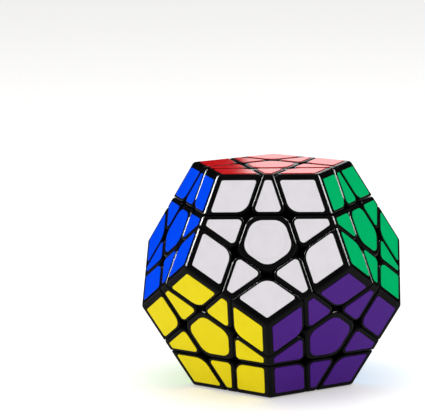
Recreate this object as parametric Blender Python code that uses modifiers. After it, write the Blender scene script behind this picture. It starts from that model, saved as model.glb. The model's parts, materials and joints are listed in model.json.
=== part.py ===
"""Dodecahedron twisty puzzle, in metres, +Z up, standing on one face.

Every piece is cut from one bevelled dodecahedron by turned layer tools, one for each
face axis. A layer tool is flat near the outside, narrows to a conical neck below that,
and widens again to a conical foot, so each piece hooks under its neighbours and any
whole layer can turn. The face centres are held to the core by screws and springs.
"""
import math
from itertools import combinations

import bmesh
import bpy
from mathutils import Matrix, Vector

MM = 0.001

# Driving dimensions
EDGE = 33.5 * MM                     # a sharp edge of the dodecahedron
GAP = 0.3 * MM                       # play between neighbouring pieces
CONE_GAP = 0.6 * MM                  # play between necks and feet, which are faceted cones
CUT_SHARE = 0.658                    # height of a layer cut, as a share of the inradius
RIDGE_BEVEL = 0.9 * MM               # flat taken off the outer ridges

# Feet that hold the pieces in, as angles and radii about the puzzle's centre
NECK_ANGLE = math.radians(46)
FOOT_ANGLE = math.radians(52)
FOOT_TOP = 29 * MM                   # radius where a neck widens into its foot
FOOT_FLOOR = 13.5 * MM               # height of the flat underside of a foot
CONE_FLOOR = 2 * MM                  # where the cones that part two feet begin
TOOL_REACH = 60 * MM                 # beyond the outermost corner
TOOL_STEPS = 20                      # facets of a layer tool, a multiple of five
TOOL_PHASE = 0.3                     # of a facet

# Core, face centres and their fastenings, as heights along a face axis
BALL_RADIUS = 10 * MM
POST_RADIUS = 3.4 * MM
POST_TOP = 13 * MM
STEM_RADIUS = 3.8 * MM
STEM_TOP = 23 * MM
SHAFT_HOLE = 1.55 * MM
SHAFT_HOLE_FLOOR = 4 * MM
SPRING_BORE = 2.9 * MM
SPRING_BORE_FLOOR = 20.5 * MM
SPRING_BORE_ROOF = 33 * MM

SHAFT_RADIUS = 1.25 * MM
SCREW_TIP = 4.6 * MM
HEAD_RADIUS = 2.5 * MM
HEAD_BOTTOM = 29.4 * MM
HEAD_TOP = 31.4 * MM
HEAD_CHAMFER = 0.4 * MM

COIL_RADIUS = 2.1 * MM
WIRE_RADIUS = 0.3 * MM
COIL_BOTTOM = 21.2 * MM
COIL_TOP = 28.7 * MM
COIL_TURNS = 4
POINTS_PER_TURN = 10

ROUND_SIDES = 16
SCREW_SIDES = 16

GOLDEN = (1 + math.sqrt(5)) / 2
INRADIUS = EDGE / 2 * math.sqrt((25 + 11 * math.sqrt(5)) / 10)
CIRCUMRADIUS = EDGE * GOLDEN * math.sqrt(3) / 2
CUT = CUT_SHARE * INRADIUS
MIDDLE = Matrix.Translation((0, 0, INRADIUS))

# Each face's elevation above the horizon and its turn from the front, towards +X
RING = math.degrees(math.atan(0.5))
FACES = {
    "red": (90, 0),
    "white": (RING, 0),
    "green": (RING, 72),
    "cream": (RING, 144),
    "pink": (RING, -144),
    "blue": (RING, -72),
    "yellow": (-RING, -36),
    "purple": (-RING, 36),
    "sky": (-RING, 108),
    "grey": (-RING, 180),
    "lime": (-RING, -108),
    "orange": (-90, 0),
}
TURNING = ("red", "yellow", "grey")  # faces whose whole layer turns


def normal(face):
    """Outward direction of a face."""
    elevation, turn = (math.radians(angle) for angle in FACES[face])
    flat = math.cos(elevation)
    return Vector((flat * math.sin(turn), -flat * math.cos(turn), math.sin(elevation)))


def touching(*faces):
    """Whether every two of the faces share an edge of the dodecahedron."""
    return all(normal(a).dot(normal(b)) > 0.4 for a, b in combinations(faces, 2))


def facing(face, neighbour):
    """Rotation that takes +Z to a face's direction and +X towards a neighbour."""
    out = normal(face)
    aside = normal(neighbour)
    aside = (aside - out * out.dot(aside)).normalized()
    return Matrix((aside, out.cross(aside), out)).transposed().to_4x4()


def placing(source, target):
    """Rotation that takes one pair of touching faces to another."""
    return facing(*target) @ facing(*source).inverted()


def neighbours(face):
    return [other for other in FACES if other != face and touching(face, other)]


def in_turning_order(faces):
    """Order three faces so that all corners list theirs the same way round."""
    first, second, third = faces
    if normal(first).cross(normal(second)).dot(normal(third)) < 0:
        return first, third, second
    return first, second, third


def clear_scene():
    for obj in list(bpy.data.objects):
        bpy.data.objects.remove(obj, do_unlink=True)


def new_collection(name):
    collection = bpy.data.collections.new(name)
    bpy.context.scene.collection.children.link(collection)
    return collection


def plain_material(name, colour, roughness, metallic=0.0):
    material = bpy.data.materials.new(name)
    material.use_nodes = True
    shader = material.node_tree.nodes["Principled BSDF"]
    shader.inputs["Base Color"].default_value = (*colour, 1)
    shader.inputs["Roughness"].default_value = roughness
    shader.inputs["Metallic"].default_value = metallic
    return material


def add_guide(name, data, turn=None):
    """A construction solid: it shapes the pieces and is not itself a piece."""
    obj = bpy.data.objects.new(name, data)
    obj.matrix_world = turn or Matrix.Identity(4)
    obj.hide_render = True
    obj.display_type = "WIRE"
    cutters.objects.link(obj)
    return obj


def evaluated_mesh(obj, name):
    """The object's mesh with its modifiers applied."""
    bpy.context.view_layer.update()
    shaped = obj.evaluated_get(bpy.context.evaluated_depsgraph_get())
    mesh = bpy.data.meshes.new_from_object(shaped)
    mesh.name = name
    return mesh


def carved(name, blank, steps):
    """Run Boolean steps of (operation, guide) on a blank's mesh."""
    obj = add_guide(name, blank)
    for operation, guide in steps:
        boolean = obj.modifiers.new(guide.name, "BOOLEAN")
        boolean.operation = operation
        boolean.object = guide
    return evaluated_mesh(obj, name)


def dodecahedron_mesh():
    """Solid dodecahedron about the origin, with its ridges bevelled."""
    bm = bmesh.new()
    for faces in combinations(FACES, 3):
        if touching(*faces):
            middle = sum((normal(face) for face in faces), Vector())
            bm.verts.new(middle.normalized() * CIRCUMRADIUS)
    bmesh.ops.convex_hull(bm, input=bm.verts)
    bmesh.ops.dissolve_limit(bm, angle_limit=math.radians(2), verts=bm.verts, edges=bm.edges)
    bmesh.ops.recalc_face_normals(bm, faces=bm.faces)
    mesh = bpy.data.meshes.new("dodecahedron")
    bm.to_mesh(mesh)
    bm.free()
    obj = add_guide("dodecahedron", mesh)
    bevel = obj.modifiers.new("ridges", "BEVEL")
    bevel.width = RIDGE_BEVEL
    bevel.segments = 1
    return evaluated_mesh(obj, "bevelled_dodecahedron")


def turned(name, outline, steps):
    """Turn an outline of (radius, height) points, listed from top to bottom, about Z."""
    mesh = bpy.data.meshes.new(name)
    points = [(radius, 0, height) for radius, height in outline]
    links = [(k, k + 1) for k in range(len(points) - 1)]
    mesh.from_pydata(points, links, [])
    obj = bpy.data.objects.new(name, mesh)
    screw = obj.modifiers.new("turn", "SCREW")
    screw.steps = steps
    screw.render_steps = steps
    screw.use_merge_vertices = True
    screw.merge_threshold = 0.00001
    return obj


def layer_outline(side, floor):
    """Half section of one layer, without the play on side 1 and with it on side -1."""
    inset = side * CONE_GAP / 2
    cut = CUT + side * GAP / 2
    foot_top = FOOT_TOP - inset

    def on_cone(angle, radius):
        across = radius * math.sin(angle) - inset * math.cos(angle)
        return across, radius * math.cos(angle) + inset * math.sin(angle)

    def on_cone_at_height(angle, height):
        return on_cone(angle, (height - inset * math.sin(angle)) / math.cos(angle))

    return [
        (0, TOOL_REACH),
        (TOOL_REACH, TOOL_REACH),
        (TOOL_REACH, cut),
        on_cone_at_height(NECK_ANGLE, cut),
        on_cone(NECK_ANGLE, foot_top),
        on_cone(FOOT_ANGLE, foot_top),
        on_cone_at_height(FOOT_ANGLE, floor + inset),
        (0, floor + inset),
    ]


def layer_tools(side, floor, label):
    """One layer tool for each face, all sharing one mesh.

    Their facets are turned a little, so that no two tools meet edge to edge on a mirror
    plane of the dodecahedron.
    """
    profile = turned("layer_" + label, layer_outline(side, floor), TOOL_STEPS)
    cutters.objects.link(profile)
    mesh = evaluated_mesh(profile, "layer_" + label)
    bpy.data.objects.remove(profile)
    phase = Matrix.Rotation(TOOL_PHASE * math.tau / TOOL_STEPS, 4, "Z")
    return {
        face: add_guide(f"{label}_{face}", mesh, facing(face, neighbours(face)[0]) @ phase)
        for face in FACES
    }


def cylinder_mesh(name, radius, bottom, top):
    """Cylinder about Z between two heights."""
    bm = bmesh.new()
    bmesh.ops.create_cone(bm, cap_ends=True, segments=ROUND_SIDES, radius1=radius,
                          radius2=radius, depth=top - bottom,
                          matrix=Matrix.Translation((0, 0, (top + bottom) / 2)))
    mesh = bpy.data.meshes.new(name)
    bm.to_mesh(mesh)
    bm.free()
    return mesh


def corner_mesh():
    steps = [("INTERSECT", inner[face]) for face in ("red", "white", "green")]
    return carved("corner_piece", blank, steps)


def edge_mesh():
    steps = [("INTERSECT", inner[face]) for face in ("red", "white")]
    steps += [("DIFFERENCE", outer[face]) for face in ("green", "blue")]
    return carved("edge_piece", blank, steps)


def centre_mesh(name, stem_bottom, bores):
    """Face centre of the red face, on its stem."""
    turn = facing("red", "white")
    steps = [("INTERSECT", inner["red"])]
    steps += [("DIFFERENCE", outer[face]) for face in neighbours("red")]
    stem = cylinder_mesh(name + "_stem", STEM_RADIUS, stem_bottom, STEM_TOP)
    steps.append(("UNION", add_guide(name + "_stem", stem, turn)))
    for label, radius, bottom, top in bores:
        bore = cylinder_mesh(label, radius, bottom, top)
        steps.append(("DIFFERENCE", add_guide(label, bore, turn)))
    return carved(name, blank, steps)


def turning_centre_mesh():
    """Hollow for the screw and spring, open at the stem's lower end."""
    return centre_mesh("turning_centre", POST_TOP + GAP, [
        ("centre_shaft_hole", SHAFT_HOLE, POST_TOP - GAP, SPRING_BORE_FLOOR + GAP),
        ("centre_spring_bore", SPRING_BORE, SPRING_BORE_FLOOR, SPRING_BORE_ROOF),
    ])


def core_mesh():
    """Ball with twelve posts; the centres that don't turn are fixed on theirs."""
    bm = bmesh.new()
    bmesh.ops.create_uvsphere(bm, u_segments=ROUND_SIDES, v_segments=ROUND_SIDES // 2,
                              radius=BALL_RADIUS)
    ball = bpy.data.meshes.new("core_ball")
    bm.to_mesh(ball)
    bm.free()
    fixed = centre_mesh("fixed_centre", BALL_RADIUS / 2, [])
    post = cylinder_mesh("core_post", POST_RADIUS, BALL_RADIUS / 2, POST_TOP)
    hole = cylinder_mesh("core_hole", SHAFT_HOLE, SHAFT_HOLE_FLOOR, POST_TOP + MM)
    steps = []
    for face in FACES:
        turn = placing(("red", "white"), (face, neighbours(face)[0]))
        if face in TURNING:
            steps.append(("UNION", add_guide("post_" + face, post, turn)))
            steps.append(("DIFFERENCE", add_guide("hole_" + face, hole, turn)))
        else:
            steps.append(("UNION", add_guide("fixed_" + face, fixed, turn)))
    return carved("core", ball, steps)


def add_piece(name, data, turn, material, layer=None):
    """A real piece of the puzzle; its origin is the puzzle's centre, on every axis."""
    obj = bpy.data.objects.new(name, data)
    obj.matrix_world = MIDDLE @ turn
    if layer:
        obj.parent = layer
        obj.matrix_parent_inverse = layer.matrix_world.inverted()
    if not data.materials:
        data.materials.append(material)
    puzzle.objects.link(obj)
    return obj


def smooth(mesh):
    mesh.shade_smooth()
    mesh.set_sharp_from_angle(angle=math.radians(25))
    return mesh


def screw_mesh():
    outline = [
        (0, HEAD_TOP),
        (HEAD_RADIUS - HEAD_CHAMFER, HEAD_TOP),
        (HEAD_RADIUS, HEAD_TOP - HEAD_CHAMFER),
        (HEAD_RADIUS, HEAD_BOTTOM),
        (SHAFT_RADIUS, HEAD_BOTTOM),
        (SHAFT_RADIUS, SCREW_TIP + SHAFT_RADIUS),
        (0, SCREW_TIP),
    ]
    profile = turned("screw", outline, SCREW_SIDES)
    cutters.objects.link(profile)
    mesh = evaluated_mesh(profile, "screw")
    bpy.data.objects.remove(profile)
    return smooth(mesh)


def spring_curve():
    """Round wire wound about Z from the bore's shoulder to the screw's head."""
    curve = bpy.data.curves.new("spring", "CURVE")
    curve.dimensions = "3D"
    curve.bevel_depth = WIRE_RADIUS
    curve.bevel_resolution = 2
    curve.use_fill_caps = True
    spline = curve.splines.new("POLY")
    count = COIL_TURNS * POINTS_PER_TURN
    spline.points.add(count)
    for k, point in enumerate(spline.points):
        angle = math.tau * k / POINTS_PER_TURN
        height = COIL_BOTTOM + (COIL_TOP - COIL_BOTTOM) * k / count
        point.co = (COIL_RADIUS * math.cos(angle), COIL_RADIUS * math.sin(angle), height, 1)
    return curve


def layer_of(faces):
    """The turning layer that holds a piece, or None for a piece that stays put."""
    for face in faces:
        if face in TURNING:
            return layers[face]
    return None


clear_scene()
puzzle = new_collection("dodecahedron_puzzle")
cutters = new_collection("cutters")
black_plastic = plain_material("black_plastic", (0.012, 0.012, 0.014), 0.35)
core_plastic = plain_material("core_plastic", (0.55, 0.56, 0.58), 0.45)
steel = plain_material("steel", (0.56, 0.57, 0.58), 0.3, 1.0)

blank = dodecahedron_mesh()
inner = layer_tools(1, FOOT_FLOOR, "inner")
outer = layer_tools(-1, CONE_FLOOR, "outer")

layers = {}
for face in TURNING:
    layers[face] = bpy.data.objects.new(face + "_layer", None)
    layers[face].matrix_world = MIDDLE
    puzzle.objects.link(layers[face])

add_piece("core_and_fixed_centres", core_mesh(), Matrix.Identity(4), core_plastic)

centre = turning_centre_mesh()
screw = screw_mesh()
spring = spring_curve()
for face in TURNING:
    along = facing(face, neighbours(face)[0])
    turn = placing(("red", "white"), (face, neighbours(face)[0]))
    add_piece("centre_" + face, centre, turn, black_plastic, layers[face])
    add_piece("screw_" + face, screw, along, steel)
    add_piece("spring_" + face, spring, along, steel, layers[face])

edge = edge_mesh()
for pair in combinations(FACES, 2):
    if touching(*pair):
        turn = placing(("red", "white"), pair)
        add_piece("edge_" + "_".join(pair), edge, turn, black_plastic, layer_of(pair))

corner = corner_mesh()
for trio in combinations(FACES, 3):
    if touching(*trio):
        first, second, _ = in_turning_order(trio)
        turn = placing(("red", "white"), (first, second))
        add_piece("corner_" + "_".join(trio), corner, turn, black_plastic, layer_of(trio))
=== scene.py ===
"""The looks of a dodecahedron twisty puzzle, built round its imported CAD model."""
import json
import math
import random
from itertools import combinations

import bmesh
import bpy
from mathutils import Matrix, Vector

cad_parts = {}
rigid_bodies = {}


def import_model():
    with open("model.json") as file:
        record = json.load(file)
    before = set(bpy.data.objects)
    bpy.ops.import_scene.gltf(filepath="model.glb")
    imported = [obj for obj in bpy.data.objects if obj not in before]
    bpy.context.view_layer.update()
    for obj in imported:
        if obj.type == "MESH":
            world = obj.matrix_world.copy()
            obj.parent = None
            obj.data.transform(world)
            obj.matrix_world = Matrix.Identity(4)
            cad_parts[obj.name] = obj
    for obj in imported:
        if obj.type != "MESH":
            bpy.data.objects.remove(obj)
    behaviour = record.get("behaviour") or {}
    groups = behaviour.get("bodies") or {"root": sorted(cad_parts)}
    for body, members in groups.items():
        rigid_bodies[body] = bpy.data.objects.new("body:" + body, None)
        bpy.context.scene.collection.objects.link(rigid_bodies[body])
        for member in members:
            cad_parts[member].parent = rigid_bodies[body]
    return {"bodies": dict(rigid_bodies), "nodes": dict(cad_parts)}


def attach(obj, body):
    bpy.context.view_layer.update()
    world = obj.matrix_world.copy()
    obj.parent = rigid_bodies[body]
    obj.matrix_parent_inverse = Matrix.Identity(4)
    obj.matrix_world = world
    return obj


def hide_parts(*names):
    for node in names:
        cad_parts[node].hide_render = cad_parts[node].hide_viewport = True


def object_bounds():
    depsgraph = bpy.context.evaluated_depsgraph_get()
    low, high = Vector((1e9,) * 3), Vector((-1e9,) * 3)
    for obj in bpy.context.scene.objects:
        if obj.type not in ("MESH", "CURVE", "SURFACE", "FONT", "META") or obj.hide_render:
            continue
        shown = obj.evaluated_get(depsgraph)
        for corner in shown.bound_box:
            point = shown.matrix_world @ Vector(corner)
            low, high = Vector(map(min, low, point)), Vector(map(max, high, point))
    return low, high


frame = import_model()
cad_low, cad_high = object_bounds()

MM = 0.001

# The puzzle's frame. Heights are along a face's axis from the puzzle's centre.
INRADIUS = cad_high.z / 2
MIDDLE = Vector((0, 0, INRADIUS))
CUT = 0.658 * INRADIUS               # height of the layer cuts, as in the CAD
RING = math.degrees(math.atan(0.5))
FACES = {                            # elevation and turn from the front of each face
    "red": (90, 0),
    "white": (RING, 0),
    "green": (RING, 72),
    "cream": (RING, 144),
    "pink": (RING, -144),
    "blue": (RING, -72),
    "yellow": (-RING, -36),
    "purple": (-RING, 36),
    "sky": (-RING, 108),
    "grey": (-RING, 180),
    "lime": (-RING, -108),
    "orange": (-90, 0),
}
FRONT = {"red", "white", "green", "blue", "yellow", "purple"}   # seen from the front

# Outer shape of the pieces
STICKER_THICKNESS = 0.18 * MM
STICKER_LIFT = 0.01 * MM
PLASTIC_TOP = INRADIUS - STICKER_THICKNESS - STICKER_LIFT
HALF_SEAM = 0.17 * MM                # half the gap between two pieces at the surface
RIDGE_OFFSET = 0.8 * MM              # how far the rounding of an outer ridge reaches
RIM_OFFSET = 0.5 * MM                # the same at the rim of a piece
CENTRE_TIP_OFFSET = 3.1 * MM         # the same at the upright edges round each junction
CORNER_TIP_OFFSET = 3.4 * MM
EDGE_TIP_OFFSET = 3.4 * MM
KEPT_RADIUS = 35.2 * MM              # inside this the pieces keep their CAD shape

# Stickers, in the plane of a face
FACE_APOTHEM = INRADIUS * math.tan(math.radians(31.7175))
CUT_APOTHEM = (CUT - INRADIUS / math.sqrt(5)) * math.sqrt(5) / 2
CENTRE_MARGIN = 1.6 * MM             # from the middle of a seam to the sticker's rim
EDGE_MARGIN = 1.3 * MM
CORNER_MARGIN = 1.2 * MM
RIDGE_MARGIN = 2.1 * MM              # from a ridge's sharp line
CENTRE_STICKER_RADIUS = 4.0 * MM
WHITE_CENTRE_MARGIN = 1.6 * MM       # the white centre's sticker is rounder
WHITE_CENTRE_RADIUS = 4.7 * MM
TIP_STICKER_RADIUS = 4.5 * MM
BASE_STICKER_RADIUS = 1.2 * MM
SMALL_STICKER_RADIUS = 0.7 * MM
STICKER_RIM = 0.08 * MM
ARC_STEPS = 10
EMBOSS_RADIUS = 6.1 * MM             # faint raised disc on the white centre
EMBOSS_HEIGHT = 0.20 * MM
EMBOSS_SLOPE = 0.3 * MM

# Inside, as heights and radii along a face's axis
CAP_SEAM = 34.3 * MM                 # where a centre's cap sits on its base
CAP_PLAY = 0.05 * MM
PLUG_RADIUS = 2.7 * MM               # the cap's plug closes the base's bore
PLUG_BOTTOM = 32.8 * MM
PLUG_TOP = CAP_SEAM + 0.4 * MM       # inside the cap, so that they join
PLUG_CHAMFER = 0.5 * MM
BALL_RADIUS = 10 * MM
POST_RADIUS = 3.4 * MM
POST_BOTTOM = 5 * MM                 # inside the ball
POST_TOP = 13 * MM
POST_CHAMFER = 0.4 * MM
THREAD_HOLE = 1.55 * MM
THREAD_HOLE_FLOOR = 4 * MM
THREAD_HOLE_TAPER = 0.6 * MM
SPRING_BORE = 2.9 * MM
SPRING_BORE_FLOOR = 20.5 * MM
TOOL_REACH = 60 * MM                 # well outside the puzzle

# Screw
SCREW_SIDES = 24
SCREW_TIP = 4.7 * MM
SHAFT_RADIUS = 1.25 * MM
THREAD_BOTTOM = 5.8 * MM
THREAD_TOP = 17.8 * MM
THREAD_PITCH = 0.8 * MM
THREAD_ROOT = 1.08 * MM
THREAD_CREST = 1.4 * MM
ROWS_PER_TURN = 7
HEAD_BOTTOM = 29.4 * MM
RECESS_FLOOR = HEAD_BOTTOM + 0.9 * MM
RECESS_REACH = 1.3 * MM
RECESS_HALF_WIDTH = 0.25 * MM

# Spring and washer
COIL_RADIUS = 2.1 * MM
WIRE_RADIUS = 0.28 * MM
COIL_BOTTOM = 20.9 * MM              # middles of the wire at the two ends
COIL_TOP = 28.55 * MM
COIL_TURNS = 6
STEPS_PER_TURN = 28
WIRE_SIDES = 10
WASHER_HOLE = 1.55 * MM
WASHER_RADIUS = 2.65 * MM
WASHER_BOTTOM = 28.95 * MM
WASHER_TOP = 29.33 * MM
WASHER_CHAMFER = 0.05 * MM

# Camera, its angles in degrees
CAMERA_TURN = 3.68                   # to the right of the white face
CAMERA_ELEVATION = 9.04
CAMERA_ROLL = -0.91
CAMERA_DISTANCE = 850 * MM
CAMERA_LEFT = 20.32 * MM             # from the line through the puzzle's middle
CAMERA_UP = 22.02 * MM
CAMERA_LENS = 211.6


# ------------------------------------------------------------------ the frame

def normal(face):
    """Outward direction of a face."""
    elevation, turn = (math.radians(angle) for angle in FACES[face])
    flat = math.cos(elevation)
    return Vector((flat * math.sin(turn), -flat * math.cos(turn), math.sin(elevation)))


def touching(*faces):
    """Whether every two of the faces share an edge of the dodecahedron."""
    return all(normal(a).dot(normal(b)) > 0.4 for a, b in combinations(faces, 2))


def neighbours(face):
    """The five faces that touch a face."""
    return [other for other in FACES if other != face and touching(face, other)]


def facing(face, neighbour):
    """Rotation that takes +Z to a face's direction and +X towards a neighbour."""
    out = normal(face)
    aside = normal(neighbour)
    aside = (aside - out * out.dot(aside)).normalized()
    return Matrix((aside, out.cross(aside), out)).transposed().to_4x4()


def placing(source, target):
    """Rotation that takes one pair of touching faces to another."""
    return facing(*target) @ facing(*source).inverted()


def in_turning_order(faces):
    """Order three faces so that all corners list theirs the same way round."""
    first, second, third = faces
    if normal(first).cross(normal(second)).dot(normal(third)) < 0:
        return first, third, second
    return first, second, third


# ------------------------------------------------------------------ materials

def new_material(name):
    material = bpy.data.materials.new(name)
    material.use_nodes = True
    return material, material.node_tree, material.node_tree.nodes["Principled BSDF"]


def noise(tree, scale, detail=2.0):
    """Noise laid out in the piece's own coordinates."""
    place = tree.nodes.new("ShaderNodeTexCoord")
    texture = tree.nodes.new("ShaderNodeTexNoise")
    texture.inputs["Scale"].default_value = scale
    texture.inputs["Detail"].default_value = detail
    tree.links.new(place.outputs["Object"], texture.inputs["Vector"])
    return texture.outputs["Fac"]


def ranged(tree, value, low, high):
    """Map a noise value to a range."""
    remap = tree.nodes.new("ShaderNodeMapRange")
    remap.inputs["From Min"].default_value = 0.3
    remap.inputs["From Max"].default_value = 0.7
    remap.inputs["To Min"].default_value = low
    remap.inputs["To Max"].default_value = high
    tree.links.new(value, remap.inputs["Value"])
    return remap.outputs["Result"]


def blended(tree, factor, first, second):
    """Mix two colours by a factor."""
    mix = tree.nodes.new("ShaderNodeMix")
    mix.data_type = "RGBA"
    mix.inputs["A"].default_value = (*first, 1)
    mix.inputs["B"].default_value = (*second, 1)
    tree.links.new(factor, mix.inputs["Factor"])
    return mix.outputs["Result"]


def bumped(tree, height, distance):
    """Surface normals of a relief of some depth."""
    bump = tree.nodes.new("ShaderNodeBump")
    bump.inputs["Distance"].default_value = distance
    tree.links.new(height, bump.inputs["Height"])
    return bump.outputs["Normal"]


def black_plastic():
    """Moulded plastic: a fine orange-peel skin with slightly uneven gloss."""
    material, tree, shader = new_material("black_plastic")
    cloud = ranged(tree, noise(tree, 90), 0, 1)
    colour = blended(tree, cloud, (0.002, 0.002, 0.002), (0.0045, 0.0045, 0.0045))
    tree.links.new(colour, shader.inputs["Base Color"])
    tree.links.new(ranged(tree, noise(tree, 400, 4), 0.15, 0.20), shader.inputs["Roughness"])
    skin = bumped(tree, noise(tree, 1800, 2), 0.0015 * MM)
    tree.links.new(skin, shader.inputs["Normal"])
    shader.inputs["Specular IOR Level"].default_value = 0.03
    return material


def sticker_vinyl(name, colour):
    """Satin vinyl film with faint grain and a little unevenness of colour."""
    material, tree, shader = new_material("vinyl_" + name)
    deep = tuple(0.94 * channel for channel in colour)
    cloud = ranged(tree, noise(tree, 160), 0, 1)
    tree.links.new(blended(tree, cloud, deep, colour), shader.inputs["Base Color"])
    tree.links.new(ranged(tree, noise(tree, 900, 4), 0.11, 0.16), shader.inputs["Roughness"])
    grain = bumped(tree, noise(tree, 3500, 2), 0.0008 * MM)
    tree.links.new(grain, shader.inputs["Normal"])
    shader.inputs["Specular IOR Level"].default_value = 0.08
    return material


def grey_plastic():
    """Satin plastic of the core."""
    material, tree, shader = new_material("core_plastic")
    cloud = ranged(tree, noise(tree, 120), 0, 1)
    colour = blended(tree, cloud, (0.50, 0.51, 0.53), (0.57, 0.58, 0.60))
    tree.links.new(colour, shader.inputs["Base Color"])
    tree.links.new(ranged(tree, noise(tree, 500, 4), 0.38, 0.52), shader.inputs["Roughness"])
    tree.links.new(bumped(tree, noise(tree, 2600, 3), 0.004 * MM), shader.inputs["Normal"])
    return material


def plated_steel():
    """Bright steel of the screws, springs and washers."""
    material, tree, shader = new_material("steel")
    cloud = ranged(tree, noise(tree, 300), 0, 1)
    colour = blended(tree, cloud, (0.50, 0.51, 0.53), (0.62, 0.62, 0.60))
    tree.links.new(colour, shader.inputs["Base Color"])
    tree.links.new(ranged(tree, noise(tree, 1500, 4), 0.22, 0.38), shader.inputs["Roughness"])
    tree.links.new(bumped(tree, noise(tree, 4000, 2), 0.003 * MM), shader.inputs["Normal"])
    shader.inputs["Metallic"].default_value = 1.0
    return material


STICKER_COLOURS = {
    "white": (0.685, 0.66, 0.695),
    "red": (0.82, 0.012, 0.016),
    "green": (0.0, 0.465, 0.143),
    "blue": (0.0, 0.072, 1.0),
    "yellow": (0.73, 0.60, 0.0),
    "purple": (0.052, 0.006, 0.178),
    "cream": (0.86, 0.78, 0.50),
    "pink": (0.90, 0.22, 0.45),
    "sky": (0.10, 0.45, 0.85),
    "grey": (0.22, 0.22, 0.23),
    "lime": (0.30, 0.70, 0.05),
    "orange": (0.90, 0.20, 0.01),
}


# ------------------------------------------------------------------ mesh tools

def mesh_from(bm, name):
    """Turn a bmesh into a mesh and let the bmesh go."""
    mesh = bpy.data.meshes.new(name)
    bm.to_mesh(mesh)
    bm.free()
    return mesh


def evaluated(obj, name):
    """The object's mesh with its modifiers applied."""
    bpy.context.view_layer.update()
    shaped = obj.evaluated_get(bpy.context.evaluated_depsgraph_get())
    mesh = bpy.data.meshes.new_from_object(shaped)
    mesh.name = name
    return mesh


def combined(name, base, *steps):
    """Run Boolean steps of (operation, mesh) on a mesh and return the result."""
    objects = [bpy.data.objects.new(name, base)]
    for operation, mesh in steps:
        guide = bpy.data.objects.new(name + "_guide", mesh)
        modifier = objects[0].modifiers.new(operation, "BOOLEAN")
        modifier.operation = operation
        modifier.object = guide
        objects.append(guide)
    for obj in objects:
        bpy.context.scene.collection.objects.link(obj)
    mesh = evaluated(objects[0], name)
    for obj in objects:
        bpy.data.objects.remove(obj)
    return mesh


def softly_shaded(mesh, sharp_angle=40):
    """Smooth shading that keeps the flats flat."""
    mesh.shade_smooth()
    mesh.set_sharp_from_angle(angle=math.radians(sharp_angle))
    obj = bpy.data.objects.new(mesh.name, mesh)
    bpy.context.scene.collection.objects.link(obj)
    weighted = obj.modifiers.new("weighted", "WEIGHTED_NORMAL")
    weighted.keep_sharp = True
    shaded = evaluated(obj, mesh.name)
    bpy.data.objects.remove(obj)
    return shaded


def solid_between(planes):
    """Convex solid below every plane (direction, height)."""
    bm = bmesh.new()
    for trio in combinations(planes, 3):
        directions = Matrix([direction for direction, _ in trio])
        if abs(directions.determinant()) < 1e-4:
            continue
        point = directions.inverted() @ Vector([height for _, height in trio])
        if all(direction.dot(point) <= height + 0.0001 * MM for direction, height in planes):
            bm.verts.new(point)
    bmesh.ops.remove_doubles(bm, verts=bm.verts, dist=0.001 * MM)
    bmesh.ops.convex_hull(bm, input=bm.verts)
    bmesh.ops.dissolve_limit(bm, angle_limit=math.radians(1), verts=bm.verts, edges=bm.edges)
    bmesh.ops.recalc_face_normals(bm, faces=bm.faces)
    return bm


def round_edges(bm, edges, offset, segments, skin, value):
    """Round some edges and mark the new faces on the skin layer."""
    made = bmesh.ops.bevel(bm, geom=edges, offset=offset, offset_type="OFFSET",
                           segments=segments, profile=0.5, affect="EDGES")
    for face in made["faces"]:
        face[skin] = value


def rounded_block(outer_faces, planes, tip_offset, upright):
    """Outer part of a piece: uprights, then ridges, then rims are rounded.

    The skin layer marks a piece's outside with 1 and its hidden sides with 0.
    """
    bm = solid_between(planes)
    skin = bm.faces.layers.int.new("skin")
    out = [normal(face) for face in outer_faces]
    for face in bm.faces:
        face[skin] = int(any(face.normal.dot(direction) > 0.999 for direction in out))
    sides = [edge for edge in bm.edges
             if all(face[skin] == 0 for face in edge.link_faces) and upright(edge)]
    round_edges(bm, sides, tip_offset, segments=8, skin=skin, value=0)
    ridges = [edge for edge in bm.edges if all(face[skin] == 1 for face in edge.link_faces)]
    if ridges:
        round_edges(bm, ridges, RIDGE_OFFSET, segments=5, skin=skin, value=1)
    rims = [edge for edge in bm.edges
            if sorted(face[skin] for face in edge.link_faces) == [0, 1]]
    round_edges(bm, rims, RIM_OFFSET, segments=4, skin=skin, value=0)
    bmesh.ops.recalc_face_normals(bm, faces=bm.faces)
    return mesh_from(bm, "rounded_block")


def ball(radius, rings):
    """Ball about the puzzle's centre."""
    bm = bmesh.new()
    bmesh.ops.create_uvsphere(bm, u_segments=2 * rings, v_segments=rings, radius=radius)
    return mesh_from(bm, "ball")


def cad_shape(node):
    """A closed copy of a CAD node's mesh about the puzzle's centre."""
    bm = bmesh.new()
    bm.from_mesh(frame["nodes"][node].data)
    bmesh.ops.remove_doubles(bm, verts=bm.verts, dist=0.002 * MM)
    bmesh.ops.dissolve_limit(bm, angle_limit=math.radians(0.1), verts=bm.verts, edges=bm.edges)
    bmesh.ops.translate(bm, vec=-MIDDLE, verts=bm.verts)
    return mesh_from(bm, node)


def rounded_piece(node, block):
    """A CAD piece with its outer part cut to a rounded block."""
    envelope = combined("envelope", block, ("UNION", ball(KEPT_RADIUS, 40)))
    mesh = combined(node, cad_shape(node), ("INTERSECT", envelope))
    return softly_shaded(mesh)


# ------------------------------------------------------------------ pieces

def corner_piece():
    """Corner piece between the red, white and green faces."""
    faces = ("red", "white", "green")
    planes = [(normal(face), PLASTIC_TOP) for face in faces]
    planes += [(-normal(face), -(CUT + HALF_SEAM)) for face in faces]
    block = rounded_block(faces, planes, CORNER_TIP_OFFSET, lambda edge: True)
    return rounded_piece("corner_red_white_green", block)


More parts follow.
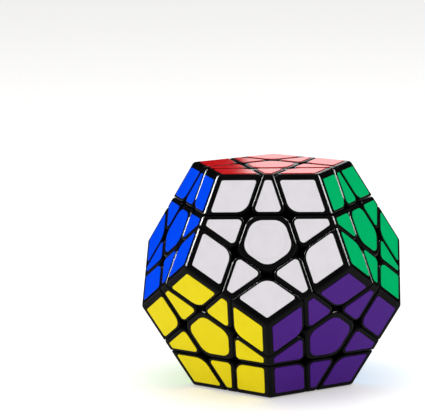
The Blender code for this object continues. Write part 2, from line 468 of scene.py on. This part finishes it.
def edge_piece():
    """Edge piece between the red and white faces."""
    faces = ("red", "white")
    planes = [(normal(face), PLASTIC_TOP) for face in faces]
    planes += [(-normal(face), -(CUT + HALF_SEAM)) for face in faces]
    planes += [(normal(face), CUT - HALF_SEAM) for face in ("green", "blue")]
    between = normal("red").cross(normal("white")).normalized()

    def upright(edge):
        """Not the inner edge that runs along the ridge."""
        along = (edge.verts[0].co - edge.verts[1].co).normalized()
        return abs(along.dot(between)) < 0.9

    block = rounded_block(faces, planes, EDGE_TIP_OFFSET, upright)
    return rounded_piece("edge_red_white", block)


def centre_piece():
    """Centre of the red face, with its base and cap in one."""
    planes = [(normal("red"), PLASTIC_TOP), (-normal("red"), -KEPT_RADIUS * 0.85)]
    planes += [(normal(face), CUT - HALF_SEAM) for face in neighbours("red")]

    def upright(edge):
        """Not an edge of the flat top or bottom."""
        return abs(edge.verts[0].co.z - edge.verts[1].co.z) > 1 * MM

    block = rounded_block(("red",), planes, CENTRE_TIP_OFFSET, upright)
    return rounded_piece("centre_red", block)


# ------------------------------------------------------------------ stickers

def outline(lines, inset):
    """Points of a rounded polygon.

    Each line is (direction angle, distance, radius of the corner it starts).
    """
    points = []
    for k, (angle, distance, radius) in enumerate(lines):
        before, reach, _ = lines[k - 1]
        radius = max(radius - inset, 0.02 * MM)
        turn = Matrix(((math.cos(before), math.sin(before)), (math.cos(angle), math.sin(angle))))
        middle = turn.inverted() @ Vector((reach - inset - radius, distance - inset - radius))
        sweep = (angle - before) % math.tau
        for step in range(ARC_STEPS + 1):
            at = before + sweep * step / ARC_STEPS
            points.append(middle + radius * Vector((math.cos(at), math.sin(at))))
    return points


def sticker_mesh(name, lines, embossed=False):
    """Thin film in the red face's plane with a softened rim."""
    bm = bmesh.new()
    bottom = PLASTIC_TOP + STICKER_LIFT
    top = bottom + STICKER_THICKNESS
    profile = [(0, bottom)]
    for step in range(4):
        angle = math.pi / 2 * step / 3
        profile.append((STICKER_RIM * (1 - math.cos(angle)),
                        top - STICKER_RIM * (1 - math.sin(angle))))
    rings = [[(*point, height) for point in outline(lines, inset)] for inset, height in profile]
    if embossed:
        for step in range(5):
            share = step / 4
            radius = EMBOSS_RADIUS - EMBOSS_SLOPE * share
            height = top + EMBOSS_HEIGHT * share * share * (3 - 2 * share)
            rings.append([(*(Vector(point[:2]).normalized() * radius), height)
                          for point in rings[0]])
    rings = [[bm.verts.new(point) for point in ring] for ring in rings]
    for low, high in zip(rings, rings[1:]):
        for k in range(len(low)):
            bm.faces.new((low[k - 1], low[k], high[k], high[k - 1]))
    bm.faces.new(rings[-1])
    bm.faces.new(reversed(rings[0]))
    bmesh.ops.recalc_face_normals(bm, faces=bm.faces)
    return softly_shaded(mesh_from(bm, name), 60)


def sticker_shapes():
    """Centre, edge and corner stickers of the red face; +X points to white."""
    fifth = math.tau / 5
    ridge = FACE_APOTHEM - RIDGE_MARGIN
    centre = [(k * fifth, CUT_APOTHEM - CENTRE_MARGIN, CENTRE_STICKER_RADIUS) for k in range(5)]
    white = [(k * fifth, CUT_APOTHEM - WHITE_CENTRE_MARGIN, WHITE_CENTRE_RADIUS)
             for k in range(5)]
    edge = [
        (0, ridge, SMALL_STICKER_RADIUS),
        (fifth, CUT_APOTHEM - EDGE_MARGIN, SMALL_STICKER_RADIUS),
        (math.pi, -CUT_APOTHEM - EDGE_MARGIN, BASE_STICKER_RADIUS),
        (-fifth, CUT_APOTHEM - EDGE_MARGIN, BASE_STICKER_RADIUS),
    ]
    corner = [
        (0, ridge, SMALL_STICKER_RADIUS),
        (fifth, ridge, SMALL_STICKER_RADIUS),
        (math.pi, -CUT_APOTHEM - CORNER_MARGIN, SMALL_STICKER_RADIUS),
        (math.pi + fifth, -CUT_APOTHEM - CORNER_MARGIN, TIP_STICKER_RADIUS),
    ]
    return {
        "centre": sticker_mesh("centre_sticker", centre),
        "edge": sticker_mesh("edge_sticker", edge),
        "corner": sticker_mesh("corner_sticker", corner),
        "embossed": sticker_mesh("embossed_sticker", white, True),
    }


# ------------------------------------------------------------------ inner parts

def turned(name, section, sides):
    """Solid turned about Z from a closed section of (radius, height) points.

    A point of radius 0 becomes a single vertex on the axis.
    """
    bm = bmesh.new()
    rings = []
    for radius, height in section:
        if radius == 0:
            rings.append([bm.verts.new((0, 0, height))] * sides)
            continue
        rings.append([bm.verts.new((radius * math.cos(math.tau * k / sides),
                                    radius * math.sin(math.tau * k / sides), height))
                      for k in range(sides)])
    for k, ring in enumerate(rings):
        before = rings[k - 1]
        if len(set(ring)) == 1 and len(set(before)) == 1:
            continue
        for j in range(sides):
            corners = (before[j - 1], before[j], ring[j], ring[j - 1])
            bm.faces.new(tuple(dict.fromkeys(corners)))
    bmesh.ops.recalc_face_normals(bm, faces=bm.faces)
    return mesh_from(bm, name)


def rod(radius, bottom, top):
    return turned("rod", [(0, bottom), (radius, bottom), (radius, top), (0, top)], 40)


def tilted(mesh, face):
    """Copy of a mesh about Z, turned to a face's axis."""
    copy = mesh.copy()
    copy.transform(facing(face, neighbours(face)[0]))
    return copy


def split_centre(centre):
    """The base that holds the spring, and the cap that closes it."""
    above = tilted(rod(TOOL_REACH, CAP_SEAM, TOOL_REACH), "red")
    bore = tilted(rod(SPRING_BORE, SPRING_BORE_FLOOR, CAP_SEAM + 1 * MM), "red")
    base = combined("centre_base", centre, ("DIFFERENCE", above), ("DIFFERENCE", bore))
    upper = tilted(rod(TOOL_REACH, CAP_SEAM + CAP_PLAY, TOOL_REACH), "red")
    plug = turned("plug", [
        (0, PLUG_BOTTOM), (PLUG_RADIUS - PLUG_CHAMFER, PLUG_BOTTOM),
        (PLUG_RADIUS, PLUG_BOTTOM + PLUG_CHAMFER), (PLUG_RADIUS, PLUG_TOP), (0, PLUG_TOP)], 40)
    cap = combined("centre_cap", centre, ("INTERSECT", upper), ("UNION", tilted(plug, "red")))
    return softly_shaded(base), softly_shaded(cap)


def core_mesh():
    """Ball with a threaded post along each face's axis."""
    post = turned("post", [
        (0, POST_BOTTOM), (POST_RADIUS, POST_BOTTOM), (POST_RADIUS, POST_TOP - POST_CHAMFER),
        (POST_RADIUS - POST_CHAMFER, POST_TOP), (0, POST_TOP)], 40)
    hole = turned("hole", [
        (0, THREAD_HOLE_FLOOR), (THREAD_HOLE, THREAD_HOLE_FLOOR + THREAD_HOLE_TAPER),
        (THREAD_HOLE, POST_TOP - 0.4 * MM),
        (THREAD_HOLE + 0.5 * MM, POST_TOP + 0.1 * MM), (0, POST_TOP + 0.1 * MM)], 32)
    steps = [("UNION", tilted(post, face)) for face in FACES]
    steps += [("DIFFERENCE", tilted(hole, face)) for face in FACES]
    return softly_shaded(combined("core", ball(BALL_RADIUS, 32), *steps), 30)


def screw_mesh():
    """Pan head with a cross recess, on a shaft whose lower part is threaded."""
    sides = SCREW_SIDES
    head = HEAD_BOTTOM
    length = THREAD_TOP - THREAD_BOTTOM
    rows = ROWS_PER_TURN * round(length / THREAD_PITCH)
    bm = bmesh.new()
    rings = []
    for row in range(rows + 1):
        height = THREAD_BOTTOM + length * row / rows
        end = min(height - THREAD_BOTTOM, THREAD_TOP - height)
        depth = (THREAD_CREST - THREAD_ROOT) * min(1, end / THREAD_PITCH)
        ring = []
        for k in range(sides):
            phase = (height / THREAD_PITCH - k / sides) % 1
            radius = THREAD_ROOT + depth * max(0, 1 - abs(phase - 0.5) * 2.6)
            angle = math.tau * k / sides
            ring.append((radius * math.cos(angle), radius * math.sin(angle), height))
        rings.append(ring)
    above = [(SHAFT_RADIUS, THREAD_TOP + 0.2 * MM), (SHAFT_RADIUS, head - 0.15 * MM),
             (1.4 * MM, head), (2.35 * MM, head), (2.5 * MM, head + 0.15 * MM),
             (2.5 * MM, head + 0.8 * MM), (2.3 * MM, head + 1.35 * MM),
             (1.8 * MM, head + 1.75 * MM), (1.0 * MM, head + 1.95 * MM)]
    for radius, height in above:
        rings.append([(radius * math.cos(math.tau * k / sides),
                       radius * math.sin(math.tau * k / sides), height) for k in range(sides)])
    rings = [[bm.verts.new(point) for point in ring] for ring in rings]
    for low, high in zip(rings, rings[1:]):
        for k in range(sides):
            bm.faces.new((low[k - 1], low[k], high[k], high[k - 1]))
    tip = bm.verts.new((0, 0, SCREW_TIP))
    for k in range(sides):
        bm.faces.new((rings[0][k], rings[0][k - 1], tip))
    bm.faces.new(rings[-1])
    bmesh.ops.recalc_face_normals(bm, faces=bm.faces)
    arm = solid_between([
        (Vector((1, 0, 0)), RECESS_REACH), (Vector((-1, 0, 0)), RECESS_REACH),
        (Vector((0, 1, 0)), RECESS_HALF_WIDTH), (Vector((0, -1, 0)), RECESS_HALF_WIDTH),
        (Vector((0, 0, 1)), head + 3 * MM), (Vector((0, 0, -1)), -RECESS_FLOOR)])
    arm = mesh_from(arm, "arm")
    other = arm.copy()
    other.transform(Matrix.Rotation(math.pi / 2, 4, "Z"))
    screw = combined("screw", mesh_from(bm, "screw_blank"), ("DIFFERENCE", arm),
                     ("DIFFERENCE", other))
    return softly_shaded(screw, 35)


def spring_mesh():
    """Round wire wound six times, with a closed turn at each end."""
    closed = 2.1 * WIRE_RADIUS
    up = Vector((0, 0, 1))

    def height(turn):
        """Height of the wire's middle after some turns."""
        if turn < 1:
            return COIL_BOTTOM + closed * turn
        if turn > COIL_TURNS - 1:
            return COIL_TOP - closed * (COIL_TURNS - turn)
        share = (turn - 1) / (COIL_TURNS - 2)
        return COIL_BOTTOM + closed + (COIL_TOP - COIL_BOTTOM - 2 * closed) * share

    bm = bmesh.new()
    rings = []
    for step in range(COIL_TURNS * STEPS_PER_TURN + 1):
        turn = step / STEPS_PER_TURN
        out = Vector((math.cos(math.tau * turn), math.sin(math.tau * turn), 0))
        ring = []
        for k in range(WIRE_SIDES):
            angle = math.tau * k / WIRE_SIDES
            side = math.cos(angle) * out + math.sin(angle) * up
            ring.append(bm.verts.new(COIL_RADIUS * out + height(turn) * up + WIRE_RADIUS * side))
        rings.append(ring)
    for low, high in zip(rings, rings[1:]):
        for k in range(WIRE_SIDES):
            bm.faces.new((low[k - 1], low[k], high[k], high[k - 1]))
    bm.faces.new(rings[0])
    bm.faces.new(rings[-1])
    bmesh.ops.recalc_face_normals(bm, faces=bm.faces)
    return softly_shaded(mesh_from(bm, "spring"), 60)


def washer_mesh():
    flat = WASHER_RADIUS - WASHER_CHAMFER
    section = [(WASHER_HOLE, WASHER_BOTTOM), (flat, WASHER_BOTTOM),
               (WASHER_RADIUS, WASHER_BOTTOM + WASHER_CHAMFER),
               (WASHER_RADIUS, WASHER_TOP - WASHER_CHAMFER), (flat, WASHER_TOP),
               (WASHER_HOLE, WASHER_TOP)]
    return softly_shaded(turned("washer", section, 40))


# ------------------------------------------------------------------ assembly

def body_of(faces):
    """The body that a piece with these faces rides on."""
    for face in faces:
        if face + "_layer" in frame["bodies"]:
            return face + "_layer"
    return "root"


def add(name, mesh, turn, material, body):
    """Put a piece on its body, turned about the puzzle's middle."""
    obj = bpy.data.objects.new(name, mesh)
    obj.matrix_world = Matrix.Translation(MIDDLE) @ turn
    if not mesh.materials:
        mesh.materials.append(material)
    bpy.context.scene.collection.objects.link(obj)
    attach(obj, body)
    return obj


def add_glossy(name, mesh, turn, faces, body):
    """A black piece, lit by the front glints if all its faces are in front."""
    obj = add(name, mesh, turn, plastic, body)
    lit_pieces = front_pieces if set(faces) <= FRONT else back_pieces
    lit_pieces.objects.link(obj)
    return obj


def add_stickers(piece, kind, faces, body):
    """One sticker on each outer face of a piece, laid by hand, so never quite true."""
    for k, face in enumerate(faces):
        mesh = sticker_meshes["embossed" if (kind, face) == ("centre", "white") else kind, face]
        if kind == "centre":
            turn = placing(("red", "white"), (face, neighbours(face)[0]))
        else:
            turn = placing(("red", "white"), (face, faces[(k + 1) % len(faces)]))
        askew = Matrix.Translation((hand.uniform(-1, 1) * 0.05 * MM,
                                    hand.uniform(-1, 1) * 0.05 * MM, 0))
        add(f"{piece}.sticker_{face}", mesh, turn @ facing("red", "white") @ askew,
            vinyl[face], body)


hand = random.Random(12)
front_pieces = bpy.data.collections.new("front_pieces")
back_pieces = bpy.data.collections.new("back_pieces")
plastic = black_plastic()
core_material = grey_plastic()
steel = plated_steel()
vinyl = {face: sticker_vinyl(face, colour) for face, colour in STICKER_COLOURS.items()}
shapes = sticker_shapes()
sticker_meshes = {}
for kind, mesh in shapes.items():
    for face in FACES:
        sticker_meshes[kind, face] = mesh.copy()

corner = corner_piece()
for trio in combinations(FACES, 3):
    if touching(*trio):
        ordered = in_turning_order(trio)
        name = "corner_" + "_".join(trio)
        turn = placing(("red", "white"), ordered[:2])
        piece = add_glossy(name + ".piece", corner, turn, trio, body_of(trio))
        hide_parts(name)
        add_stickers(name, "corner", ordered, body_of(trio))

edge = edge_piece()
for pair in combinations(FACES, 2):
    if touching(*pair):
        name = "edge_" + "_".join(pair)
        turn = placing(("red", "white"), pair)
        piece = add_glossy(name + ".piece", edge, turn, pair, body_of(pair))
        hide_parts(name)
        add_stickers(name, "edge", pair, body_of(pair))

base, cap = split_centre(centre_piece())
screw, spring, washer = screw_mesh(), spring_mesh(), washer_mesh()
core = add("core", core_mesh(), Matrix.Identity(4), core_material, "root")
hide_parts("core_and_fixed_centres")
for face in FACES:
    turn = placing(("red", "white"), (face, neighbours(face)[0]))
    along = facing(face, neighbours(face)[0])
    body = body_of((face,))
    pieces = [
        add_glossy("centre_" + face + ".base", base, turn, (face,), body),
        add_glossy("centre_" + face + ".cap", cap, turn, (face,), body),
        add("screw_" + face + ".piece", screw, along, steel, "root"),
        add("spring_" + face + ".piece", spring, along, steel, body),
        add("spring_" + face + ".washer", washer, along, steel, body),
    ]
    for piece in pieces:
        node = piece.name.split(".")[0]
        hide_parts(node if node in frame["nodes"] else "core_and_fixed_centres")
    add_stickers("centre_" + face, "centre", (face,), body)


# ------------------------------------------------------------------ studio

def add_floor():
    """Plain pale floor."""
    bm = bmesh.new()
    bmesh.ops.create_grid(bm, x_segments=2, y_segments=2, size=6)
    floor = bpy.data.objects.new("floor", mesh_from(bm, "floor"))
    material, tree, shader = new_material("floor")
    shader.inputs["Base Color"].default_value = (0.92, 0.915, 0.905, 1)
    shader.inputs["Roughness"].default_value = 0.6
    shader.inputs["Specular IOR Level"].default_value = 0.1
    shader.inputs["Emission Color"].default_value = (1.0, 0.995, 0.985, 1)
    shader.inputs["Emission Strength"].default_value = 0.39
    floor.data.materials.append(material)
    bpy.context.scene.collection.objects.link(floor)


def add_camera():
    """Long lens in front of the puzzle, a little above its middle."""
    turn = math.radians(CAMERA_TURN)
    elevation = math.radians(CAMERA_ELEVATION)
    roll = math.radians(CAMERA_ROLL)
    forward = Vector((-math.sin(turn) * math.cos(elevation),
                      math.cos(turn) * math.cos(elevation), -math.sin(elevation)))
    level = forward.cross(Vector((0, 0, 1))).normalized()
    upward = level.cross(forward)
    right = math.cos(roll) * level + math.sin(roll) * upward
    up = -math.sin(roll) * level + math.cos(roll) * upward
    camera = bpy.data.cameras.new("camera")
    camera.sensor_width = 36
    camera.lens = CAMERA_LENS
    spot = MIDDLE - forward * CAMERA_DISTANCE - right * CAMERA_LEFT + up * CAMERA_UP
    obj = bpy.data.objects.new("camera", camera)
    obj.matrix_world = (Matrix.Translation(spot)
                        @ Matrix((right, up, -forward)).transposed().to_4x4())
    bpy.context.scene.collection.objects.link(obj)
    bpy.context.scene.camera = obj
    return -forward


def add_light(name, spot, across, width, height, watts):
    """Soft rectangular light facing the puzzle, its width along a direction."""
    light = bpy.data.lights.new(name, "AREA")
    light.shape = "RECTANGLE"
    light.size = width
    light.size_y = height
    light.energy = watts
    back = (spot - MIDDLE).normalized()
    across = (across - back * back.dot(across)).normalized()
    obj = bpy.data.objects.new(name, light)
    obj.matrix_world = (Matrix.Translation(spot)
                        @ Matrix((across, back.cross(across), back)).transposed().to_4x4())
    bpy.context.scene.collection.objects.link(obj)
    return obj


def add_glint(pieces, *settings):
    """Light that only shows as a reflection on some black pieces."""
    light = add_light(*settings)
    light.visible_diffuse = False
    light.light_linking.receiver_collection = pieces


def add_ridge_light(name, pair, viewer, length, width, watts):
    """Strip light placed where the ridge between two faces mirrors it to the viewer."""
    ridge = (normal(pair[0]) + normal(pair[1])).normalized()
    way = 2 * ridge.dot(viewer) * ridge - viewer
    along = normal(pair[0]).cross(normal(pair[1]))
    add_glint(front_pieces, name, MIDDLE + 0.9 * way, along.cross(way), length, width, watts)


def around(azimuth, elevation, distance=0.9):
    """A spot round the puzzle, the azimuth counted to the right from its front."""
    azimuth, elevation = math.radians(azimuth), math.radians(elevation)
    flat = math.cos(elevation)
    return MIDDLE + distance * Vector((flat * math.sin(azimuth), -flat * math.cos(azimuth),
                                       math.sin(elevation)))


def light_studio(viewer):
    """Even white light, soft boxes at both sides and above, and glints for the plastic.

    The backdrop only shows as a pale reflection in the top face.
    """
    world = bpy.data.worlds.new("studio")
    world.use_nodes = True
    background = world.node_tree.nodes["Background"]
    background.inputs["Color"].default_value = (1, 1, 1, 1)
    background.inputs["Strength"].default_value = 0.55
    bpy.context.scene.world = world
    world.cycles_visibility.glossy = False
    depth = Vector((0, 1, 0))
    level = Vector((1, 0, 0))
    add_light("front_left", around(-58, 12), depth, 0.7, 0.6, 2.1)
    add_light("front_right", around(52, 12), depth, 0.7, 0.6, 1.9)
    add_light("top", around(0, 90, 1.2), level, 1.0, 1.0, 6.0).visible_glossy = False
    add_ridge_light("left_strip", ("white", "blue"), viewer, 0.60, 0.065, 66)
    add_ridge_light("right_strip", ("white", "green"), viewer, 0.55, 0.09, 50)
    add_glint(front_pieces, "top_left_glint", around(-100, 62), depth, 0.16, 0.16, 38)
    add_glint(front_pieces, "top_right_glint", around(100, 62), depth, 0.16, 0.16, 28)
    add_glint(back_pieces, "back_glint", around(180, 60), level, 0.45, 0.12, 24)
    backdrop = add_light("backdrop", Vector((0.0525, 0.9, 0.23)), level, 0.215, 0.26, 0.27)
    backdrop.visible_diffuse = False
    bpy.context.scene.view_settings.view_transform = "Standard"


add_floor()
light_studio(add_camera())
